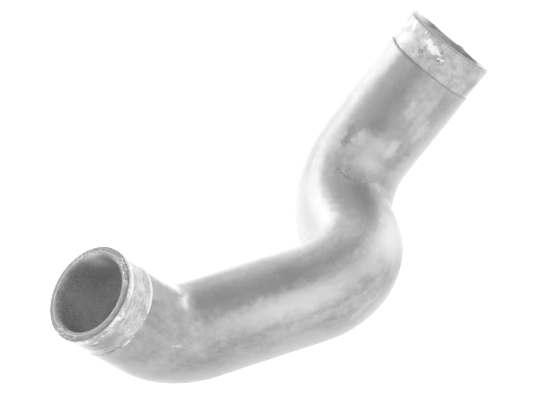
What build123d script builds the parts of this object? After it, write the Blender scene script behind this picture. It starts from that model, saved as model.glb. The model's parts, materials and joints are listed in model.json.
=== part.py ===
from build123d import *
import os

# Charge air hose of a car engine: one thick-walled rubber moulding, cured on a bent core, that
# carries compressed air between two pipes. Three tight elbows turn it in three planes. The lower
# mouth has a shallow groove as its clamp seat, and the upper mouth a slimmer neck that flares a little.

# Bore and wall of the body
bore = 56.0
body_wall = 7.0

# Centreline: straight runs, from the lower mouth's face to the step below the neck
lower_run = 60.0
middle_run = 80.0
joining_run = 11.5
upper_run = 70.5

# Elbows: angle turned, radius of the centreline, and twist of the elbow's plane from the one before
lower_turn_angle = 56.5
lower_bend = 48.0
middle_turn_angle = 85.5
middle_bend = 46.0
middle_twist_angle = -96.0
upper_turn_angle = 78.0
upper_bend = 53.0
upper_twist_angle = 141.5

# Clamp seat at the lower mouth: a shallow groove behind a lip that keeps the clamp on
lower_lip_length = 6.0
lower_seat_length = 25.0
lower_seat_wall = 6.4
lower_lip_round = 2.0
lower_lip_bevel = 1.5
seat_step_bevel = 0.4

# Neck at the upper mouth: a slimmer clamp seat, set a little to one side, that flares to its rim
neck_length = 25.0
neck_bore = 50.0
neck_root_wall = 8.6
neck_rim_wall = 10.2
neck_lean_angle = 1.9
neck_shift = 0.6
neck_side_angle = 54.5
neck_lip_round = 2.0
neck_lip_bevel = 2.0
neck_taper_length = 14.0
body_end_bevel = 0.5

# How far a cut or a joined piece reaches past the face that it meets
overlap = 6.0

# How closely an edge must lie to the circle that it is looked up by
edge_match = 0.05

# The search for the resting attitude: half the range of roll, and the number of steps
roll_range_angle = 40.0
rolling_steps = 30
levelling_steps = 30

FROM_BASE = (Align.CENTER, Align.CENTER, Align.MIN)
body_radius = bore / 2 + body_wall
elbows = [
    (lower_run, 0.0, lower_turn_angle, lower_bend),
    (middle_run, middle_twist_angle, middle_turn_angle, middle_bend),
    (joining_run, upper_twist_angle, upper_turn_angle, upper_bend),
]


def rod(place, radius, length):
    """A straight round rod that starts at a place and runs along its Z."""
    return place * Cylinder(radius, length, align=FROM_BASE)


def bent_rod(place, radius, turn, bend):
    """A round rod bent towards the X of its starting place."""
    axis = Axis((bend, 0, 0), (0, 1, 0))
    return place * revolve(Plane.XY * Circle(radius), axis, turn)


def past_elbow(place, turn, bend):
    """The place at the end of an elbow that starts at the given place."""
    return place * Pos(bend, 0, 0) * Rot(0, turn, 0) * Pos(-bend, 0, 0)


def elbow_places():
    """The starting place of each elbow, and the place where the last run begins."""
    place = Location()
    starts = []
    for run, twist, turn, bend in elbows:
        start = place * Pos(0, 0, run) * Rot(0, 0, twist)
        starts.append(start)
        place = past_elbow(start, turn, bend)
    return starts, place


def bar(radius):
    """A solid bar of one radius along the whole centreline, as a bent pipe would fill it."""
    starts, last = elbow_places()
    pieces = [rod(last, radius, upper_run)]
    place = Location()
    for start, (run, twist, turn, bend) in zip(starts, elbows):
        pieces.append(rod(place, radius, run))
        pieces.append(bent_rod(start, radius, turn, bend))
        place = past_elbow(start, turn, bend)
    return pieces[0].fuse(*pieces[1:]).clean()


def neck_places():
    """The body's end, and the root and the rim of the neck, which stands on it off centre."""
    end = elbow_places()[1] * Pos(0, 0, upper_run)
    side = end * Rot(0, 0, neck_side_angle)
    root = side * Pos(neck_shift, 0, 0) * Rot(0, -neck_lean_angle, 0)
    return end, root, root * Pos(0, 0, neck_length)


def neck_outside():
    """The cone of the neck's outside, with a stub that reaches down into the body's wall."""
    growth = (neck_rim_wall - neck_root_wall) / neck_length
    root_radius = neck_bore / 2 + neck_root_wall
    rim_radius = neck_bore / 2 + neck_rim_wall
    foot = neck_places()[1] * Pos(0, 0, -overlap)
    return foot * Cone(root_radius - growth * overlap, rim_radius, neck_length + overlap, align=FROM_BASE)


def neck_inside():
    """The neck's straight bore, and the taper by which the body's bore narrows to it."""
    end, root, rim = neck_places()
    wide = end * Pos(0, 0, -neck_taper_length) * Circle(bore / 2)
    narrow = root * Circle(neck_bore / 2)
    return rod(root, neck_bore / 2, neck_length + overlap) + loft([wide, narrow])


def body_inside():
    """The body's bore, open past the lower mouth and ended where the taper to the neck begins."""
    core = bar(bore / 2) + rod(Pos(0, 0, -overlap), bore / 2, overlap)
    taper_start = neck_places()[0] * Pos(0, 0, -neck_taper_length)
    return core - rod(taper_start, bore, neck_taper_length + overlap)


def lower_seat_groove():
    """The ring that is taken off the body's outside between the lower lip and the seat's end."""
    seat_radius = bore / 2 + lower_seat_wall
    ring = rod(Pos(0, 0, lower_lip_length), body_radius + overlap, lower_seat_length - lower_lip_length)
    return ring - rod(Location(), seat_radius, lower_seat_length + overlap)


def round_edge(shape, place, radius):
    """The circular edge of one radius that is centred on a place."""
    centre = place.position
    circles = shape.edges().filter_by(GeomType.CIRCLE)
    return circles.filter_by(
        lambda edge: abs(edge.radius - radius) < edge_match
        and (edge.arc_center - centre).length < edge_match
    )


def hose_as_moulded():
    """The hose in the frame of its lower mouth, where Z runs into the hose."""
    mouth = Location()
    end, root, rim = neck_places()
    body = bar(body_radius) - lower_seat_groove()
    body = fillet(round_edge(body, mouth, body_radius), lower_lip_round)
    body = chamfer(round_edge(body, Pos(0, 0, lower_lip_length), body_radius), seat_step_bevel)
    body = chamfer(round_edge(body, Pos(0, 0, lower_seat_length), body_radius), seat_step_bevel)
    body = chamfer(round_edge(body, end, body_radius), body_end_bevel)
    hose = body + neck_outside() - body_inside() - neck_inside()
    hose = chamfer(round_edge(hose, mouth, bore / 2), lower_lip_bevel)
    hose = fillet(round_edge(hose, rim, neck_bore / 2 + neck_rim_wall), neck_lip_round)
    return chamfer(round_edge(hose, rim, neck_bore / 2), neck_lip_bevel)


def elbow_foot(number, up):
    """The lowest point of one elbow's outside, for a given upward direction."""
    start = Plane(elbow_places()[0][number])
    bend = elbows[number][3]
    fall = start.y_dir * up.dot(start.y_dir) - up
    return start.origin + start.x_dir * bend + fall.normalized() * bend - up * body_radius


def span_of_feet(up):
    """From the lowest point of the first elbow to the lowest point of the last one."""
    return elbow_foot(2, up) - elbow_foot(0, up)


def levelled(up):
    """Tip an upward direction until the first and the last elbow stand equally high."""
    for step in range(levelling_steps):
        span = span_of_feet(up)
        up = (up - span * (up.dot(span) / span.dot(span))).normalized()
    return up


def elbow_outward(number):
    """The direction in which one elbow bulges, at the middle of its turn."""
    start = elbow_places()[0][number]
    half_turn = elbows[number][2] / 2
    return -Plane(start * Rot(0, half_turn, 0)).x_dir


def resting_up(centre_of_mass):
    """The upward direction with the hose balanced on the outsides of its first and last elbow."""
    first_guess = levelled(-(elbow_outward(0) + elbow_outward(2)).normalized())
    roll_axis = Axis((0, 0, 0), tuple(span_of_feet(first_guess)))
    low, high = -roll_range_angle, roll_range_angle
    for step in range(rolling_steps):
        roll = (low + high) / 2
        up = levelled(first_guess.rotate(roll_axis, roll))
        arm = centre_of_mass - elbow_foot(0, up)
        if arm.dot(span_of_feet(up).cross(up)) < 0:
            low = roll
        else:
            high = roll
    return up


def resting_place(hose):
    """Where the moulded hose's frame lies once the hose is at rest, mouths along X, on Z = 0."""
    up = resting_up(hose.center(CenterOf.MASS))
    mouth_to_mouth = neck_places()[2].position
    along = mouth_to_mouth - up * mouth_to_mouth.dot(up)
    turned = Plane((0, 0, 0), x_dir=along, z_dir=up).location.inverse()
    box = (turned * hose).bounding_box()
    return Pos(-box.center().X, -box.center().Y, -box.min.Z) * turned


moulded = hose_as_moulded()
resting = resting_place(moulded)
os.makedirs("parts", exist_ok=True)
export_step(resting * moulded, "parts/hose.step")

# Where the mouths lie at rest, and which way they open
for name, place, outward in [("lower", resting, -1), ("upper", resting * neck_places()[2], 1)]:
    mouth = Plane(place)
    print(name, "mouth:", *mouth.origin, "opens:", *(mouth.z_dir * outward))
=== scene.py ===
import json
import math

import bpy
import numpy as np
from mathutils import Matrix, Vector, noise


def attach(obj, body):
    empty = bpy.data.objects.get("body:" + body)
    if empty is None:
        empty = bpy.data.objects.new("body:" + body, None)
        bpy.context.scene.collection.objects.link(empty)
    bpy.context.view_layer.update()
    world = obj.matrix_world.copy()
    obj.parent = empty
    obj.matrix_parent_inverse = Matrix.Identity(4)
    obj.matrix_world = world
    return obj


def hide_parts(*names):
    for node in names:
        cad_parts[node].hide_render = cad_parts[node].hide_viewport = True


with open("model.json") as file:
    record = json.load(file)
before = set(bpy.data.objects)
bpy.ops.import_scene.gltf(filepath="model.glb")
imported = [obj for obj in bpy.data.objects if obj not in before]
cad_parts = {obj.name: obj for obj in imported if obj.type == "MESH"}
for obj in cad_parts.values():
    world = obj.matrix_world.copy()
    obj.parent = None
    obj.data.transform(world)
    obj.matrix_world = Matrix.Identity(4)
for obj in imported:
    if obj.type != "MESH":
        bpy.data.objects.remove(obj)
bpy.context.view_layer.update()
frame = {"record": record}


# The hose: one thick-walled rubber moulding, laid up of rubber and fabric plies on a bent core
# and cured in one piece. Three tight elbows turn it in three planes, so it is made of rings of
# points about its bent centreline, from the lower mouth to the upper one and back inside.
bore = 0.056
body_wall = 0.007
body_radius = bore / 2 + body_wall
lower_run = 0.060
upper_run = 0.0705
elbows = [
    {"run": lower_run, "twist": 0.0, "turn": 56.5, "bend": 0.048},
    {"run": 0.080, "twist": -96.0, "turn": 85.5, "bend": 0.046},
    {"run": 0.0115, "twist": 141.5, "turn": 78.0, "bend": 0.053},
]
body_length = sum(e["run"] + math.radians(e["turn"]) * e["bend"] for e in elbows) + upper_run

columns = 192
angles = [2 * math.pi * column / columns for column in range(columns)]
rings = []
straight = []
zones = []
COVER, CUT, LINING = range(3)


def about(angle, axis):
    """A turn by an angle in radians about one axis."""
    return Matrix.Rotation(angle, 4, axis)


def along_axis(distance):
    """A step along Z."""
    return Matrix.Translation((0, 0, distance))


def centreline(distance):
    """The place on the bent centreline at a distance from the lower mouth. Its X never twists."""
    place = Matrix.Identity(4)
    plane = 0.0
    for elbow in elbows:
        if distance <= elbow["run"]:
            return place @ along_axis(distance)
        place = place @ along_axis(elbow["run"])
        distance -= elbow["run"]
        plane += math.radians(elbow["twist"])
        arc = math.radians(elbow["turn"]) * elbow["bend"]
        out = Matrix.Translation((elbow["bend"], 0, 0))
        turn = about(min(distance, arc) / elbow["bend"], "Y")
        place = place @ about(plane, "Z") @ out @ turn @ out.inverted() @ about(-plane, "Z")
        if distance <= arc:
            return place
        distance -= arc
    return place @ along_axis(distance)


def spaced(start, end, spacing):
    """Evenly spaced values from start up to, but not with, the end."""
    count = max(1, round(abs(end - start) / spacing))
    return [start + (end - start) * i / count for i in range(count)]


def swell(point, *grains):
    """Smooth noise at a point, summed over grains that are each given as a size and a depth."""
    return sum(depth * noise.noise(Vector(point) / size) for size, depth in grains)


def round_swell(angle, level, *grains):
    """Smooth noise round a circle of radius 1. Each level has noise of its own."""
    return swell((math.cos(angle), math.sin(angle), level), *grains)


def ring(place, radius, height=0.0, relief=None):
    """One ring of points about a place, with a relief for each angle along its radius."""
    points = []
    for angle in angles:
        r = radius + (relief(angle) if relief else 0.0)
        points.append(place @ Vector((r * math.cos(angle), r * math.sin(angle), height)))
    return points


def add_ring(points, radius, along, zone):
    """Keep a ring, with where its points would lie on the straight hose, and its finish."""
    rings.append(points)
    straight.append([(radius * math.cos(a), radius * math.sin(a), along) for a in angles])
    zones.append(zone)


# The lower mouth: the hose is cut square with a knife there, and the lip is rounded over. Behind
# the lip, a shallow groove is moulded in as the seat of a band clamp, whose edges dented it.
lip_length = 0.006
lip_round = 0.002
lip_bevel = 0.0015
seat_wall = 0.0064
seat_length = 0.025
seat_radius = bore / 2 + seat_wall
step_bevel = 0.0004
step_softening = 0.0001
seat_spacing = 0.0008
cover_grains = ((0.045, 0.00035), (0.012, 0.0001))
seat_grain = (0.009, 0.00012)
seat_stretch = 6
nick_grain = (0.08, 0.00012)
nick_levels = 400
fray_grain = (0.06, 0.00025)
fray_levels = 300
clamp_dent = 0.00018
clamp_edges = ((0.0105, 0.0012), (0.0205, 0.0010))
face_rings = 12
round_rings = 6
cut_rings = 4
mouth = centreline(0)


def gauss(value, middle, width):
    """A bump that is 1 at its middle, 0.37 one width away, and almost 0 two widths away."""
    return math.exp(-((value - middle) / width) ** 2)


def cover_height(along, angle):
    """How far the cover stands in or out of the true tube, from lay-up by hand and from clamps."""
    x, y = math.cos(angle) * body_radius, math.sin(angle) * body_radius
    height = swell((x, y, along), *cover_grains)
    if lip_length < along < seat_length:
        height = height / 2 + swell((x, y, along * seat_stretch), seat_grain)
        for middle, width in clamp_edges:
            height -= clamp_dent * gauss(along, middle, width)
    return height


def add_cover_ring(along, radius):
    """A ring of the cover on the bent centreline, with the relief that it has there."""
    points = ring(centreline(along), radius, 0.0, lambda angle: cover_height(along, angle))
    add_ring(points, radius, along, COVER)


def cut_ring(radius):
    """A ring of the lower mouth's cut face, which the knife left a little uneven."""
    nicks = [round_swell(angle, radius * nick_levels, nick_grain) for angle in angles]
    return [point + Vector((0, 0, nick)) for point, nick in zip(ring(mouth, radius), nicks)]


def lip_ring(radius, height):
    """A ring of the rounded lip, which is a little frayed."""
    return ring(mouth, radius, height, lambda a: round_swell(a, height * fray_levels, fray_grain))


cut_inside, cut_outside = bore / 2 + lip_bevel, body_radius - lip_round
for i in range(face_rings):
    radius = cut_inside + (cut_outside - cut_inside) * i / face_rings
    add_ring(cut_ring(radius), radius, 0.0, CUT)
for i in range(round_rings + 1):
    angle = math.radians(90) * i / round_rings
    radius = cut_outside + lip_round * math.sin(angle)
    height = lip_round * (1 - math.cos(angle))
    add_ring(lip_ring(radius, height), radius, height, CUT if i < cut_rings else COVER)
for along in spaced(lip_round + seat_spacing, lip_length - step_bevel, seat_spacing):
    add_cover_ring(along, body_radius)
add_cover_ring(lip_length - step_bevel, body_radius)
add_cover_ring(lip_length, (body_radius + seat_radius) / 2 + step_softening)
add_cover_ring(lip_length + step_bevel, seat_radius + step_softening)
for along in spaced(lip_length + 2 * step_bevel, seat_length - step_softening, seat_spacing):
    add_cover_ring(along, seat_radius)
add_cover_ring(seat_length - step_softening, seat_radius)
add_cover_ring(seat_length, body_radius - step_bevel)

# The body: a round tube of even wall through three elbows, a little uneven from the cloth that
# was wrapped round it while it cured. Its end was trimmed by hand and runs in and out a little.
outside_spacing = 0.0016
body_end_bevel = 0.0005
end_grain = (0.35, 0.0006)
body_end = centreline(body_length)
body_axis = body_end.col[2].to_3d()


def hump(angle, middle, width):
    """The bump of gauss() on a circle, with its middle and its width in degrees."""
    return gauss((math.degrees(angle) - middle + 180) % 360 - 180, 0, width)


def end_wave(angle):
    """How far the trimmed end of the body runs in or out."""
    return 0.0018 * hump(angle, -75, 42) + round_swell(angle, 3.0, end_grain)


for along in spaced(seat_length + step_bevel, body_length - body_end_bevel, outside_spacing):
    add_cover_ring(along, body_radius)
for radius, height in ((body_radius, -body_end_bevel), (body_radius - body_end_bevel, 0.0)):
    points = ring(body_end, radius, height, lambda angle: cover_height(body_length, angle))
    points = [point + body_axis * end_wave(angle) for point, angle in zip(points, angles)]
    add_ring(points, radius, body_length + height, COVER)

# The neck: the clamp seat of the upper mouth, a slimmer cone on the body's end that leans and
# stands to one side. It is lumpy, and its rim was cut by hand, with a high tip and a torn nib.
neck_length = 0.025
neck_bore = 0.050
neck_root_wall = 0.0086
neck_rim_wall = 0.0102
neck_root_radius = neck_bore / 2 + neck_root_wall
neck_rim_radius = neck_bore / 2 + neck_rim_wall
neck_lean = math.radians(1.9)
neck_side = math.radians(54.5)
neck_shift = 0.0006
neck_lip_round = 0.002
neck_lip_bevel = 0.002
neck_spacing = 0.0012
neck_grains = ((0.011, 0.0005), (0.004, 0.00015))
neck_grain_radius = 0.034
rim_grain = (0.3, 0.0003)

neck_turn = neck_side + math.radians(sum(e["twist"] for e in elbows))
neck_root = body_end @ about(neck_turn, "Z") @ Matrix.Translation((neck_shift, 0, 0))
neck_root = neck_root @ about(-neck_lean, "Y") @ about(-neck_turn, "Z")
neck_rim = neck_root @ along_axis(neck_length)
growth = (neck_rim_radius - neck_root_radius) / neck_length
neck_top = neck_length - neck_lip_round
neck_rings = round(neck_length / neck_spacing)


def rim_wave(angle):
    """How far the neck's cut rim runs in or out: it slants, dips on one side and has a torn nib."""
    slant = 0.0010 * math.cos(angle + math.radians(85))
    tip = 0.0018 * hump(angle, -90, 24)
    dips = 0.0012 * hump(angle, -160, 20) + 0.0020 * hump(angle, 155, 36)
    nib = 0.0009 * hump(angle, 173, 4)
    return slant + tip - dips + nib + round_swell(angle, 7.0, rim_grain)


def neck_point(angle, fraction):
    """A point of the neck's outside, from the body's end face at 0 to the foot of the lip at 1."""
    spoke = Vector((math.cos(angle), math.sin(angle), 0))
    low = neck_root @ (spoke * neck_root_radius)
    rise = neck_root @ (spoke * (neck_root_radius + growth) + Vector((0, 0, 1))) - low
    start = -(low - body_end.translation).dot(body_axis) / rise.dot(body_axis)
    height = start + (neck_top - start) * fraction
    lump = swell((spoke.x * neck_grain_radius, spoke.y * neck_grain_radius, height), *neck_grains)
    radius = neck_root_radius + growth * height + lump * math.sin(math.pi * fraction) ** 0.5
    height += rim_wave(angle) * fraction ** 4
    return neck_root @ (spoke * radius + Vector((0, 0, height)))


def rim_ring(radius, height):
    """A ring about the neck's rim that follows its wavy cut."""
    heights = [rim_wave(angle) + height for angle in angles]
    return [neck_rim @ Vector((radius * math.cos(a), radius * math.sin(a), h))
            for a, h in zip(angles, heights)]


for i in range(neck_rings + 1):
    fraction = i / neck_rings
    points = [neck_point(angle, fraction) for angle in angles]
    add_ring(points, neck_rim_radius, body_length + neck_length * fraction, COVER)
for i in range(1, round_rings + 1):
    angle = math.radians(90) * i / round_rings
    radius = neck_rim_radius - neck_lip_round * (1 - math.cos(angle))
    height = -neck_lip_round * (1 - math.sin(angle))
    zone = CUT if round_rings - i < cut_rings else COVER
    add_ring(rim_ring(radius, height), radius, body_length + neck_length + height, zone)
for i in range(1, face_rings):
    radius = neck_rim_radius - neck_lip_round
    radius += (neck_bore / 2 + neck_lip_bevel - radius) * i / (face_rings - 1)
    add_ring(rim_ring(radius, 0.0), radius, body_length + neck_length, CUT)

# The lining: the inner rubber, smooth from the core that it was cured on. It runs from the neck's
# bore through a short taper to the body's wider bore, and back to the lower mouth.
neck_taper = 0.014
taper_rings = 4
inside_spacing = 0.004

for height in spaced(neck_length - neck_lip_bevel, 0, inside_spacing) + [0]:
    add_ring(ring(neck_root, neck_bore / 2, height), neck_bore / 2, body_length + height, LINING)
taper_foot = body_length - neck_taper
taper_start = ring(neck_root, neck_bore / 2)
taper_end = ring(centreline(taper_foot), bore / 2)
for i in range(1, taper_rings):
    points = [a.lerp(b, i / taper_rings) for a, b in zip(taper_start, taper_end)]
    add_ring(points, bore / 2, body_length - neck_taper * i / taper_rings, LINING)
for along in spaced(taper_foot, lip_bevel, inside_spacing) + [lip_bevel]:
    add_ring(ring(centreline(along), bore / 2), bore / 2, along, LINING)

# From the moulded place to the row frame: the lower mouth and its axis are a mount of the record,
# and the roll about that axis brings the upper mouth to its own mount.
mounts = {mount["name"]: mount for mount in frame["record"]["mounts"]}
lower_middle = Vector(mounts["lower_mouth"]["pos_m"])
lower_outward = Vector(mounts["lower_mouth"]["axis"]).normalized()
upper_middle = Vector(mounts["upper_mouth"]["pos_m"])
lower_centre = lower_middle + lower_outward * (lip_bevel + (lower_run - lip_bevel) / 2)
upper_depth = neck_lip_bevel + (neck_length - neck_lip_bevel) / 2
upper_own = neck_rim @ Vector((0, 0, -upper_depth))


def axes_from(inward, target):
    """Axes with Z along a direction and X towards a target, seen from the lower mouth."""
    side = (target - inward * target.dot(inward)).normalized()
    return Matrix((side, inward.cross(side), inward)).transposed()


row_axes = axes_from(-lower_outward, upper_middle - lower_centre)
own_axes = axes_from(Vector((0, 0, 1)), upper_own)
resting = Matrix.Translation(lower_centre) @ (row_axes @ own_axes.transposed()).to_4x4()

mesh = bpy.data.meshes.new("hose_moulding")
corners = [resting @ point for points in rings for point in points]
faces = []
face_zones = []
for i in range(len(rings)):
    here, there = i * columns, (i + 1) % len(rings) * columns
    for column in range(columns):
        after = (column + 1) % columns
        faces.append((here + column, here + after, there + after, there + column))
        face_zones.append(zones[i])
mesh.from_pydata(corners, [], faces)
mesh.polygons.foreach_set("material_index", face_zones)
mesh.polygons.foreach_set("use_smooth", [True] * len(faces))
unbent = mesh.attributes.new("straight", "FLOAT_VECTOR", "POINT")
unbent.data.foreach_set("vector", np.array(straight, np.float32).ravel())
hose = bpy.data.objects.new("hose_moulding", mesh)
bpy.context.scene.collection.objects.link(hose)
edges = hose.modifiers.new("edges", "EDGE_SPLIT")
edges.split_angle = math.radians(50)


# The finish of the cover: grey satin rubber, clouded and streaked along the hose by handling. A
# painted highlight lies along its upper left side, and light and dark marks lie over it, most of
# them painted highlights and painted shade.
# Marks are laid out on the straight hose, by the places that were kept with each ring.


class Flow:
    """An output socket of one material's nodes. Sums and products of flows add more nodes."""

    def __init__(self, tree, socket):
        self.tree = tree
        self.socket = socket

    def node(self, kind, settings=(), inputs=(), out=0):
        """Any node: its settings first, then the values or flows of its input sockets."""
        new = self.tree.nodes.new("ShaderNode" + kind)
        for name, value in dict(settings).items():
            setattr(new, name, value)
        for key, value in dict(inputs).items():
            if isinstance(value, Flow):
                self.tree.links.new(value.socket, new.inputs[key])
            else:
                new.inputs[key].default_value = value
        return Flow(self.tree, new.outputs[out])

    def maths(self, operation, first, second):
        """One step of arithmetic, on vectors if either side is one and else on numbers."""
        pair = [first, second]
        if any(isinstance(v, tuple) or isinstance(v, Flow) and v.socket.type != "VALUE" for v in pair):
            pair = [(v,) * 3 if isinstance(v, (int, float)) else v for v in pair]
            return self.node("VectorMath", {"operation": operation}, enumerate(pair))
        return self.node("Math", {"operation": operation}, enumerate(pair))

    def __add__(self, other):
        return self.maths("ADD", self, other)

    def __radd__(self, other):
        return self.maths("ADD", other, self)

    def __sub__(self, other):
        return self.maths("SUBTRACT", self, other)

    def __rsub__(self, other):
        return self.maths("SUBTRACT", other, self)

    def __mul__(self, other):
        return self.maths("MULTIPLY", self, other)

    def __rmul__(self, other):
        return self.maths("MULTIPLY", other, self)

    def absolute(self):
        """A number without its sign."""
        return self.node("Math", {"operation": "ABSOLUTE"}, {0: self})

    def part(self, index):
        """One of a vector's three numbers."""
        return self.node("SeparateXYZ", inputs={0: self}, out=index)

    def length(self):
        """The length of a vector."""
        return self.node("VectorMath", {"operation": "LENGTH"}, {0: self}, out="Value")

    def towards(self, around):
        """How far a point of the straight hose lies towards the side at an angle in degrees, where 1
        is the body's outside."""
        angle = math.radians(around)
        side = (math.cos(angle) / body_radius, math.sin(angle) / body_radius, 0.0)
        return self.node("VectorMath", {"operation": "DOT_PRODUCT"}, {0: self, 1: side}, out="Value")

    def rise(self, low, high):
        """0 below low, 1 above high, and a smooth step between them."""
        settings = {"interpolation_type": "SMOOTHSTEP"}
        return self.node("MapRange", settings, {0: self, 1: low, 2: high, 3: 0.0, 4: 1.0})

    def grain(self, size, detail=4.0, roughness=0.5, seed=0.0):
        """Noise about 0.5 at a vector, with grains of about a size in metres."""
        inputs = {"Vector": self + (seed, seed, seed), "Scale": 1 / size, "Detail": detail,
                  "Roughness": roughness}
        return self.node("TexNoise", {}, inputs)

    def wobble(self, per_metre):
        """A vector of noise about 0 that makes the edges of marks ragged."""
        inputs = {"Vector": self, "Scale": per_metre, "Detail": 5.0}
        return self.node("TexNoise", {}, inputs, out="Color") - 0.5

    def band(self, middle, half_width):
        """1 at the middle of a band of one number and 0 past its half width."""
        return 1 - (self - middle).absolute().rise(half_width * 0.4, half_width)

    def mark(self, along, around, length, width, lean=0.0, soft=0.5):
        """1 inside a mark on the straight hose and 0 past it. Its place and its half length and half
        width are in millimetres and degrees, and its length runs along the hose unless it leans."""
        angle = math.radians(around)
        half_depth = 0.03
        place = (body_radius * math.cos(angle), body_radius * math.sin(angle), along / 1000)
        local = self.node("Mapping", {"vector_type": "TEXTURE"}, {
            "Vector": self, "Location": place, "Rotation": (math.radians(lean), 0, angle),
            "Scale": (half_depth, width / 1000, length / 1000)})
        return 1 - local.length().rise(1 - soft, 1.0)

    def over(self, under, colour):
        """A colour where this mask is 1, and what lies under it where the mask is 0. A number is a
        grey, made a trace bluish."""
        pair = [c if isinstance(c, Flow) else (c, c, c * 1.01, 1.0) for c in (under, colour)]
        return self.node("Mix", {"data_type": "RGBA"}, {0: self, 6: pair[0], 7: pair[1]}, out=2)

    def marked(self, colour, marks):
        """A colour with marks over it, one after the other. Each is the shape that mark() takes,
        then a strength and a shade."""
        for *shape, strength, shade in marks:
            colour = (self.mark(*shape) * strength).over(colour, shade)
        return colour

    def bump(self, strength, distance):
        """The surface's normal with this height pressed into it."""
        return self.node("Bump", {}, {"Strength": strength, "Distance": distance, "Height": self})

    def seen(self):
        """1 for rays from the camera, straight, mirrored or through glass, and 0 for diffuse ones."""
        kinds = ("Is Camera Ray", "Is Glossy Ray", "Is Transmission Ray")
        return sum(self.node("LightPath", out=kind) for kind in kinds).rise(0.0, 1.0)

    def join(self, surface, name):
        """Feed one of a surface's sockets."""
        self.tree.links.new(self.socket, surface.inputs[name])


def rubber_material(name):
    """A material, its Principled surface, and the flow of the straight hose's coordinates."""
    material = bpy.data.materials.new(name)
    material.use_nodes = True
    surface = material.node_tree.nodes["Principled BSDF"]
    start = Flow(material.node_tree, surface.outputs[0])
    mesh.materials.append(material)
    return surface, start.node("Attribute", {"attribute_name": "straight"}, out="Vector")


surface, point = rubber_material("cover_rubber")
along = point.part(2)
lying = point.node("TexCoord", out="Object")
warp = point.wobble(160.0)
worn = point + warp * 0.012
mottle = lying.grain(0.032, 6.0, 0.65).rise(0.34, 0.66) * 0.5
mottle = mottle + lying.grain(0.0065, 5.0, 0.7, 2.0).rise(0.36, 0.64) * 0.2
mottle = mottle + (point * (1.0, 1.0, 0.25)).grain(0.008, 6.0, 0.65, 5.0).rise(0.36, 0.64) * 0.3
mottle = mottle + (lying.grain(0.0018, 2.0, 0.7, 8.0) - 0.5) * 0.5
past_seat = along.rise(0.055, 0.11)
# A painted highlight along the upper left side, and a paler painted highlight nearer its edge
painted_highlight = (point + warp * 0.003).towards(-72).rise(0.66, 0.80) * past_seat
painted_edge_highlight = point.towards(-105).rise(0.55, 0.95) * past_seat
colour = mottle.over(0.16, 0.345)
colour = (painted_highlight * 0.5).over(colour, mottle.over(0.36, 0.42))
colour = (painted_edge_highlight * 0.85).over(colour, 0.52)
colour = worn.marked(colour, [
    # Painted shade in dark places: along, around, length, width, lean, softness, strength, shade
    (118, 0, 34, 22, 0, 0.8, 0.6, 0.16),
    (165, 12, 60, 16, 4, 0.8, 0.65, 0.14),
    (160, -10, 44, 10, 0, 0.8, 0.4, 0.17),
    (260, 6, 34, 24, 10, 0.8, 0.85, 0.13),
    (285, -4, 26, 14, 0, 0.8, 0.5, 0.22),
    (340, -17, 18, 5.5, 2, 0.6, 0.95, 0.10),
    (376, -10, 56, 26, 0, 0.8, 0.8, 0.13),
    (366, 14, 16, 18, 30, 0.8, 0.55, 0.20),
    (388, 62, 46, 34, 0, 0.9, 0.35, 0.20),
    (50, 12, 40, 16, 0, 0.8, 0.4, 0.22),
    # Painted highlights: light places and bands
    (70, 6, 24, 8, 24, 0.95, 0.85, 0.75),
    (42, -16, 48, 13, 0, 0.9, 0.95, 0.80),
    (150, 112, 150, 24, 0, 0.9, 0.8, 0.46),
    (345, 78, 110, 18, 0, 0.9, 0.75, 0.45),
    (240, 60, 46, 20, -30, 0.9, 0.8, 0.56),
    (215, -30, 60, 12, 0, 0.9, 0.6, 0.46),
    (262, -46, 60, 20, 0, 0.9, 0.35, 0.50),
    (165, 44, 72, 14, 2, 0.9, 0.65, 0.55),
    (180, 72, 50, 5, 6, 0.9, 0.3, 0.5),
    # Smaller patches of the upper run, light and dark
    (330, 22, 36, 24, 10, 0.9, 0.5, 0.43),
    (346, 8, 11, 13, 0, 0.6, 0.45, 0.44),
    (385, 40, 30, 6, 4, 0.9, 0.4, 0.46),
    (383, 23, 9, 4, 0, 0.5, 0.45, 0.44),
    (374, 52, 13, 5, 0, 0.7, 0.5, 0.55),
    (388, -43, 26, 4.5, 2, 0.9, 0.7, 0.28),
    (360, 5, 9, 8, 0, 0.5, 0.65, 0.15),
    (350, 33, 10, 9, 0, 0.8, 0.45, 0.58),
    (343, -4, 8, 6, 0, 0.7, 0.4, 0.50),
    (402, -22, 16, 8, 0, 0.8, 0.6, 0.15),
    (354, 56, 3, 2, 30, 0.5, 0.5, 0.18),
    # Painted shade in creases inside the last elbow, with a thin painted highlight
    (293, 1, 16, 3, 32, 0.6, 0.7, 0.15),
    (298, -3, 7, 1.0, 32, 0.8, 0.6, 0.60),
    (304, -9, 8, 1.4, -10, 0.8, 0.6, 0.17),
    (297, -12, 5, 2.0, 0, 0.8, 0.5, 0.18),
    # Faint smears
    (205, 85, 16, 3, 15, 0.8, 0.25, 0.6),
    (214, 70, 12, 2, 60, 0.8, 0.15, 0.6),
    (65, 64, 9, 1.2, 6, 0.8, 0.6, 0.6),
])
flecks = lying.grain(0.0022, 4.0, 0.6, 11.0)
colour = (flecks.rise(0.60, 0.72) * 0.2).over(colour, 0.52)
colour = ((1 - flecks).rise(0.62, 0.72) * 0.3).over(colour, 0.2)
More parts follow.
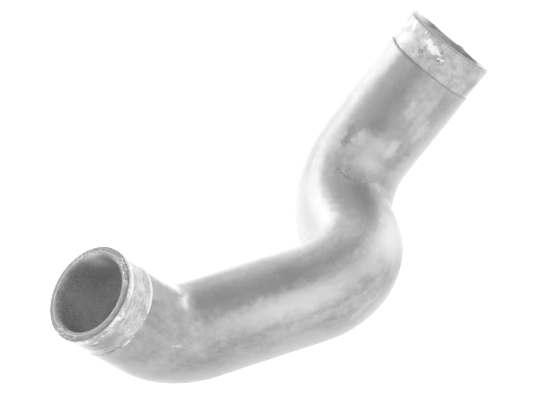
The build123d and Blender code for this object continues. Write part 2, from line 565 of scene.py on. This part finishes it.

# The finish of the lower clamp seat: the clamp and the pipe fitter's hands wiped it round and
# round. Its lip is chalky and carries a painted highlight, and its groove is dusty. A painted shadow
# lies at the groove's end, and the body's edge behind it carries a painted highlight.
streaks = (point * (0.13, 0.13, 1.0)).grain(0.0010, 5.0, 0.66, 4.0)
patches = worn.grain(0.009, 5.0, 0.65, 3.0)
chalky = (1 - patches).rise(0.44, 0.60)
# A painted highlight in a band along the lip, broken up by the chalky patches
chalk_and_lip_highlight = (along + warp.part(1) * 0.003).band(0.0036, 0.0034) * chalky
seat = along.rise(0.0006, 0.0012) * (1 - along.rise(seat_length - 0.0002, seat_length + 0.0003))
seat_colour = streaks.rise(0.38, 0.60).over(0.23, 0.47)
seat_colour = (patches.rise(0.48, 0.62) * 0.65).over(seat_colour, 0.30)
seat_colour = (chalky * 0.45).over(seat_colour, 0.62)
seat_colour = (chalk_and_lip_highlight * 0.9).over(seat_colour, 0.72)
seat_colour = (point + warp * 0.0015).marked(seat_colour, [
    # A painted highlight just behind the lip
    (4.0, 22, 2.6, 24, 0, 0.7, 0.8, 0.70),
    (13, 20, 5, 14, 20, 0.8, 0.5, 0.62),
    (14, 110, 13, 20, 0, 0.8, 0.85, 0.20),
    (10.7, 118, 1.6, 5, 8, 0.5, 0.8, 0.12),
    (9.2, 114, 1.0, 4, 8, 0.5, 0.9, 0.80),
    (17, 117, 0.8, 8, -6, 0.5, 0.7, 0.14),
    # A painted shadow at the groove's end, below the step up to the body
    (24.4, 113, 1.0, 13, 0, 0.4, 0.85, 0.10),
    (24.3, -20, 1.1, 8, 4, 0.4, 0.8, 0.12),
])
colour = seat.over(colour, seat_colour)
# A painted highlight along the body's edge behind the seat, in patches
step_highlight = along.band(seat_length + 0.0001, 0.0009) * patches.rise(0.46, 0.56) * 0.7
step_highlight = step_highlight + (point + warp * 0.0012).mark(25.2, 18, 1.0, 20, 0, 0.4)
colour = (step_highlight.rise(0.0, 0.8) * 0.8).over(colour, 0.80)

# The finish of the neck: dusty all over, and chalky on its left under a painted highlight. A clamp
# scraped it down to pale rubber in one place, with scratches and a round scar about it, and
# painted shade lines the body's edge.
neck = along.rise(body_length - 0.0004, body_length)
chalk = worn.grain(0.008, 6.0, 0.7, 7.0)
# The left side is painted lighter: a painted highlight, broken up by chalk
chalk_and_side_highlight = worn.towards(-75).rise(0.70, 1.0) * chalk.rise(0.3, 0.6)
scratches = 1 - ((point * (1.0, 1.0, 0.6)).grain(0.0045, 5.0, 0.7, 13.0) - 0.5).absolute().rise(0.0, 0.045)
handled = point.mark(424, 2, 11, 19, 0, 0.7) + point.mark(418, 84, 14, 12, 0, 0.7) * 0.8
cloud = worn.mark(428, -4, 8, 16, -12, 0.9) * chalk.rise(0.36, 0.54)
ragged = point + point.wobble(480.0) * 0.006
scraped = ragged.mark(427.5, 0, 3.8, 9, -12, 0.5) + ragged.mark(432, -16, 2.4, 4.5, -30, 0.5)
scraped = scraped + ragged.mark(425.0, 13, 3.0, 4, 10, 0.5) + ragged.mark(430, -11, 2.8, 4.5, 0, 0.5)
scraped = scraped.rise(0.1, 0.7) * chalk.rise(0.40, 0.52)
neck_colour = chalk.rise(0.38, 0.62).over(0.26, 0.40)
neck_colour = (chalk_and_side_highlight * 0.6).over(neck_colour, 0.50)
neck_colour = (scratches * (0.15 + handled * 0.6)).over(neck_colour, 0.15)
neck_colour = (cloud * 0.7).over(neck_colour, 0.55)
neck_colour = (scraped * 0.9).over(neck_colour, 0.72)
neck_colour = ragged.marked(neck_colour, [
    (420.6, -12, 2.4, 2.4, 0, 0.4, 0.95, 0.10),
    (420.6, -12, 0.8, 0.8, 0, 0.3, 0.8, 0.60),
    (423.0, 12, 1.2, 2.4, 30, 0.6, 0.9, 0.08),
    (426.5, 16, 2.2, 1.2, 30, 0.5, 0.8, 0.10),
    (429.0, 9, 2.8, 0.8, 0, 0.5, 0.8, 0.10),
    (417.0, -21, 2.6, 1.0, 10, 0.5, 0.7, 0.12),
    (417, -10, 4, 1.0, 20, 0.6, 0.6, 0.16),
    (426.5, 32, 1.5, 1.5, 0, 0.6, 0.6, 0.16),
    (421, 87, 9, 11, 20, 0.8, 0.8, 0.13),
    (417, -28, 7, 7, 0, 0.8, 0.6, 0.24),
])
colour = neck.over(colour, neck_colour)
# Painted shade in the corner of the step at the body's end
colour = (along.band(body_length - 0.0002, 0.0007) * 0.6).over(colour, 0.16)
relief = lying.grain(0.0009, 3.0, 0.6) + (seat * streaks) * 1.5 + neck * worn.grain(0.003, 4.0, 0.6, 9.0)
colour.join(surface, "Base Color")
relief.bump(0.2, 0.0005).join(surface, "Normal")
surface.inputs["Roughness"].default_value = 0.42
surface.inputs["Specular IOR Level"].default_value = 1.0
surface.inputs["Sheen Weight"].default_value = 1.0
surface.inputs["Sheen Roughness"].default_value = 0.3

# The finish of the cut faces at both mouths: dark rubber between rings of fabric plies, whose
# pale threads were frayed by the knife and run round the face. The upper rim is paler on two sides.
surface, point = rubber_material("cut_plies")
radius = (point * (1.0, 1.0, 0.0)).length()
ply = radius + point.grain(0.02, 3.0) * 0.0008
turned = point.node("Math", {"operation": "ARCTAN2"}, {0: point.part(1), 1: point.part(0)})
round_cut = point.node("CombineXYZ", {}, {0: turned * (body_radius * 0.3), 1: radius})
frayed = point.mark(0, -75, 14, 26, 90, 0.6) + point.mark(0, 150, 14, 24, 90, 0.6)
frayed = frayed + point.mark(0, 12, 14, 10, 90, 0.6)
frayed = frayed + point.grain(0.012, 2.0, 0.5, 1.0).rise(0.5, 0.6) * 0.25
threads = round_cut.grain(0.0009, 3.0, 0.5, 6.0).rise(0.55, 0.62) * frayed.rise(0.1, 0.7)
colour = round_cut.grain(0.0012, 5.0, 0.65).rise(0.32, 0.68).over(0.12, 0.25)
colour = point.marked(colour, [
    (435, -88, 8, 24, 0, 0.8, 0.85, 0.70),
    (435, 92, 8, 16, 0, 0.8, 0.7, 0.60),
])
colour = (ply.band(0.0312, 0.0006) * 0.5).over(colour, 0.42)
colour = (ply.band(0.0325, 0.0004) * 0.3).over(colour, 0.16)
colour = (ply.band(0.0343, 0.0006) * 0.2).over(colour, 0.14)
colour = (threads * 0.6).over(colour, 0.80)
colour.join(surface, "Base Color")
round_cut.grain(0.0007, 3.0).bump(0.4, 0.0004).join(surface, "Normal")
surface.inputs["Roughness"].default_value = 0.6

# The finish of the lining: smooth rubber with the fine grain of the cloth under it. Painted light
# makes the shaded bore pale in the lower run and a little in the neck, and a painted pool of light
# lies just inside the lower mouth.
surface, point = rubber_material("bore_lining")
depth = point.part(2)
weave = (point.grain(0.012, 6.0, 0.7) * 0.4 + point.grain(0.0011, 2.0, 0.7) * 0.6).rise(0.36, 0.64)
# Painted light that lifts the shade inside the lower run and, a little, inside the neck
painted_bore_light = depth.rise(0.008, 0.05) * (1 - depth.rise(0.10, 0.16)) + depth.rise(0.400, 0.415) * 0.3
colour = painted_bore_light.over(weave.over(0.16, 0.34), weave.over(0.64, 0.92))
# A painted pool of light just inside the lower mouth
colour = point.marked(colour, [(9, -64, 18, 12, 0, 0.9, 0.7, 0.72)])
colour.join(surface, "Base Color")
surface.inputs["Roughness"].default_value = 0.5

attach(hose, "root")
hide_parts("hose")


# The floor: a pale studio table that fades into the white behind it and keeps the soft shadow. It
# is set a little lower than the hose's lowest point, which the uneven cover moves.
floor_height = -0.0005
bpy.ops.mesh.primitive_plane_add(size=8.0, location=(0, 0, floor_height))
floor = bpy.context.object
floor.name = "studio_floor"
floor_material = bpy.data.materials.new("pale_table")
floor_material.use_nodes = True
table = floor_material.node_tree.nodes["Principled BSDF"]
table.inputs["Base Color"].default_value = (0.9, 0.9, 0.9, 1)
table.inputs["Roughness"].default_value = 0.9
table.inputs["Emission Strength"].default_value = 1.0
seen = Flow(floor_material.node_tree, table.outputs[0]).seen()
(seen * 0.5).join(table, "Emission Color")
floor.data.materials.append(floor_material)


# The light: a white room with twelve softboxes round the hose. Six stand low on the table, the
# strongest of them behind it and to the photograph's left, and six higher ones light its top.
room_light = 0.16
world = bpy.data.worlds.new("white_room")
bpy.context.scene.world = world
world.use_nodes = True
background = world.node_tree.nodes["Background"]
seen = Flow(world.node_tree, background.outputs[0]).seen()
(room_light + seen * (1 - room_light)).join(background, "Strength")
background.inputs["Color"].default_value = (1, 1, 1, 1)

lamp_distance = 1.5
lamp_size = 0.8
aim = Vector((0, 0, 0.06))
for azimuth, elevation, power in [
    (0, 10, 8.5), (45, 10, 6), (90, 10, 15), (120, 10, 6), (150, 10, 12), (270, 10, 5),
    (22, 35, 1.5), (248, 35, 5.5), (292, 35, 5), (338, 35, 2), (150, 42, 3), (270, 62, 5.5),
]:
    lamp = bpy.data.lights.new("softbox", "AREA")
    lamp.size = lamp_size
    lamp.energy = power
    light = bpy.data.objects.new(f"softbox_{azimuth}_{elevation}", lamp)
    direction = about(math.radians(azimuth), "Z") @ about(math.radians(-elevation), "Y") @ Vector((1, 0, 0))
    light.location = aim + direction * lamp_distance
    light.rotation_euler = (-direction).to_track_quat("-Z", "Y").to_euler()
    bpy.context.scene.collection.objects.link(light)
bpy.context.scene.view_settings.view_transform = "Standard"


# The camera: the photograph's view, with the image's right and down directions in the row frame.
camera_place = Vector((-0.985994, -0.947099, 1.848192))
image_right = Vector((0.751092, -0.658154, 0.051910))
image_down = Vector((-0.495885, -0.614318, -0.613769))
lens_pixels = 3200
image_width = 533
camera_data = bpy.data.cameras.new("camera")
camera_data.sensor_width = 36
camera_data.lens = lens_pixels / image_width * camera_data.sensor_width
camera = bpy.data.objects.new("camera", camera_data)
facing = Matrix((image_right, -image_down, image_down.cross(image_right))).transposed()
camera.matrix_world = Matrix.Translation(camera_place) @ facing.to_4x4()
bpy.context.scene.collection.objects.link(camera)
bpy.context.scene.camera = camera
